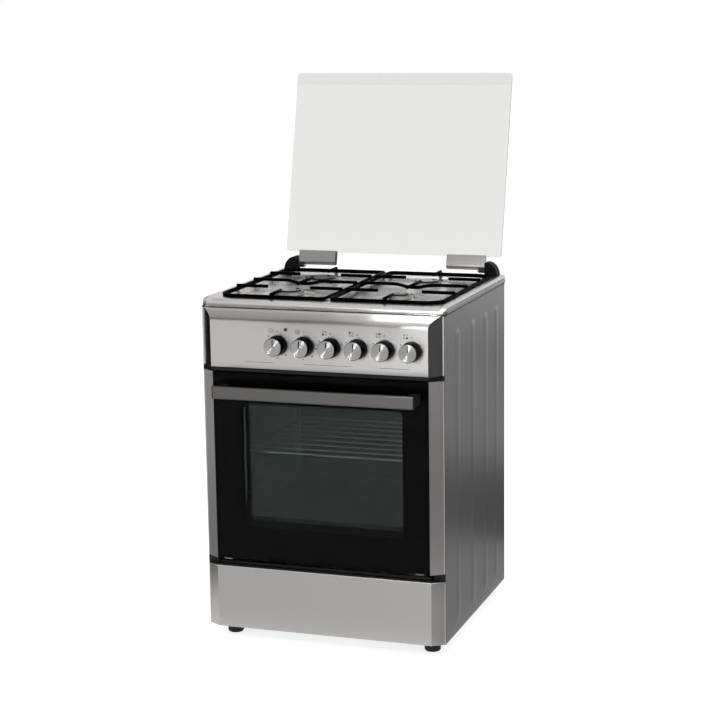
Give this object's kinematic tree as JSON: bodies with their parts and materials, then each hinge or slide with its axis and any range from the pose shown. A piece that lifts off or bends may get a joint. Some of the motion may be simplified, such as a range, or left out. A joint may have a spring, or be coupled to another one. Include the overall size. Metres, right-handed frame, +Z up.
{
  "type": "free-standing gas cooker",
  "caption": "Free-standing gas cooker with burners under a hinged glass lid, an oven behind a drop-down glass door, and a storage drawer.",
  "frame": {"origin": "on the floor, under the middle of the box round the whole cooker at rest, with the lid open and the handle and knobs counted", "axes": "+X to the right seen from the front, +Y to the back, +Z up"},
  "size_m": [0.6, 0.73, 1.3274],
  "materials": {
    "stainless": "brushed stainless steel with a satin grain",
    "side_steel": "silver-grey lacquered sheet steel",
    "galvanised": "zinc-plated sheet steel",
    "black_enamel": "gloss black vitreous enamel",
    "cavity_enamel": "dark grey vitreous enamel with fine flecks",
    "black_plastic": "moulded black heat-resistant plastic",
    "knob_black": "moulded black plastic with a turned aluminium face",
    "door_glass": "toughened glass, printed black round a clear window",
    "inner_glass": "clear toughened glass",
    "lid_glass": "clear toughened glass",
    "wire_enamel": "round steel wire, enamelled matt black",
    "aluminium": "cast and drawn aluminium",
    "brass": "turned brass",
    "plated_steel": "bright zinc-plated steel",
    "chrome_wire": "chrome-plated wire",
    "element_steel": "heat-darkened steel sheath",
    "mineral_wool": "mineral wool blanket",
    "seal_rope": "woven glass rope",
    "ceramic": "white glazed ceramic",
    "lamp_glass": "clear heat-resistant glass",
    "lamp_lens": "translucent dark amber plastic"
  },
  "bodies": {
    "cabinet": {"base_frame": "galvanised", "feet": "black_plastic", "side_panel_left": "side_steel", "side_panel_right": "side_steel", "back_panel": "galvanised", "back_screws": "plated_steel", "middle_deck": "galvanised", "front_frame": "black_enamel", "panel_strip": "black_plastic", "control_panel": "stainless", "pilot_lamp": "lamp_lens", "hob_plate": "stainless", "oven_liner": "cavity_enamel", "insulation": "mineral_wool", "oven_gasket": "seal_rope", "rack_guides": "chrome_wire", "top_element": "element_steel", "bottom_element": "element_steel", "oven_lamp": "lamp_glass", "thermostat": "black_plastic", "oven_switch": "black_plastic", "spark_generator": "black_plastic", "gas_taps": "brass", "gas_manifold": "plated_steel", "gas_inlet": "brass", "burner_cups": "aluminium", "burner_heads": "aluminium", "burner_caps": "black_enamel", "spark_electrodes": "ceramic", "burner_pipes": "aluminium", "terminal_box": "black_plastic", "drawer_rails": "galvanised", "door_hinges": "plated_steel", "hinge_blocks": "black_plastic", "lid_pins": "plated_steel"},
    "lid": {"lid_glass": "lid_glass", "lid_clips": "stainless"},
    "door": {"door_glass_outer": "door_glass", "door_frame": "black_enamel", "door_glass_inner": "inner_glass", "door_trims": "stainless", "door_handle": "stainless", "handle_brackets": "black_plastic", "door_hinge_arms": "plated_steel"},
    "drawer": {"drawer_front": "stainless", "drawer_grip": "black_plastic", "drawer_box": "galvanised"},
    "rack": {"oven_rack": "chrome_wire"},
    "grid_left": {"pan_support_left": "wire_enamel"},
    "grid_right": {"pan_support_right": "wire_enamel"},
    "thermostat_knob": {"knob_thermostat": "knob_black"},
    "function_knob": {"knob_function": "knob_black"},
    "tap_spindle_1": {"spindle_1": "brass"},
    "burner_knob_1": {"knob_burner_1": "knob_black"},
    "tap_spindle_2": {"spindle_2": "brass"},
    "burner_knob_2": {"knob_burner_2": "knob_black"},
    "tap_spindle_3": {"spindle_3": "brass"},
    "burner_knob_3": {"knob_burner_3": "knob_black"},
    "tap_spindle_4": {"spindle_4": "brass"},
    "burner_knob_4": {"knob_burner_4": "knob_black"}
  },
  "joints": [
    {"name": "lid_hinge", "type": "hinge", "parent": "cabinet", "child": "lid", "pos_m": [0, 0.23393, 0.838], "axis": [-1, 0, 0], "range_deg": [-104, 0]},
    {"name": "door_hinge", "type": "hinge", "parent": "cabinet", "child": "door", "pos_m": [0, -0.30047, 0.204], "axis": [1, 0, 0], "range_deg": [0, 90]},
    {"name": "drawer_slide", "type": "slide", "parent": "cabinet", "child": "drawer", "axis": [0, -1, 0], "range_m": [0, 0.35]},
    {"name": "rack_slide", "type": "slide", "parent": "cabinet", "child": "rack", "axis": [0, -1, 0], "range_m": [0, 0.03]},
    {"name": "grid_left_lift", "type": "slide", "parent": "cabinet", "child": "grid_left", "axis": [0, 0, 1], "range_m": [0, 0.06]},
    {"name": "grid_right_lift", "type": "slide", "parent": "cabinet", "child": "grid_right", "axis": [0, 0, 1], "range_m": [0, 0.06]},
    {"name": "thermostat_turn", "type": "hinge", "parent": "cabinet", "child": "thermostat_knob", "pos_m": [-0.098, -0.32047, 0.729], "axis": [0, 1, 0], "range_deg": [0, 270]},
    {"name": "function_turn", "type": "hinge", "parent": "cabinet", "child": "function_knob", "pos_m": [-0.0328, -0.32047, 0.729], "axis": [0, 1, 0], "continuous": true},
    {"name": "burner_push_1", "type": "slide", "parent": "cabinet", "child": "tap_spindle_1", "axis": [0, 1, 0], "range_m": [0, 0.003], "stiffness_N_per_m": 800, "springref_m": -0.003},
    {"name": "burner_turn_1", "type": "hinge", "parent": "tap_spindle_1", "child": "burner_knob_1", "pos_m": [0.0324, -0.32047, 0.729], "axis": [0, -1, 0], "range_deg": [0, 210]},
    {"name": "burner_push_2", "type": "slide", "parent": "cabinet", "child": "tap_spindle_2", "axis": [0, 1, 0], "range_m": [0, 0.003], "stiffness_N_per_m": 800, "springref_m": -0.003},
    {"name": "burner_turn_2", "type": "hinge", "parent": "tap_spindle_2", "child": "burner_knob_2", "pos_m": [0.0976, -0.32047, 0.729], "axis": [0, -1, 0], "range_deg": [0, 210]},
    {"name": "burner_push_3", "type": "slide", "parent": "cabinet", "child": "tap_spindle_3", "axis": [0, 1, 0], "range_m": [0, 0.003], "stiffness_N_per_m": 800, "springref_m": -0.003},
    {"name": "burner_turn_3", "type": "hinge", "parent": "tap_spindle_3", "child": "burner_knob_3", "pos_m": [0.1628, -0.32047, 0.729], "axis": [0, -1, 0], "range_deg": [0, 210]},
    {"name": "burner_push_4", "type": "slide", "parent": "cabinet", "child": "tap_spindle_4", "axis": [0, 1, 0], "range_m": [0, 0.003], "stiffness_N_per_m": 800, "springref_m": -0.003},
    {"name": "burner_turn_4", "type": "hinge", "parent": "tap_spindle_4", "child": "burner_knob_4", "pos_m": [0.228, -0.32047, 0.729], "axis": [0, -1, 0], "range_deg": [0, 210]}
  ]
}
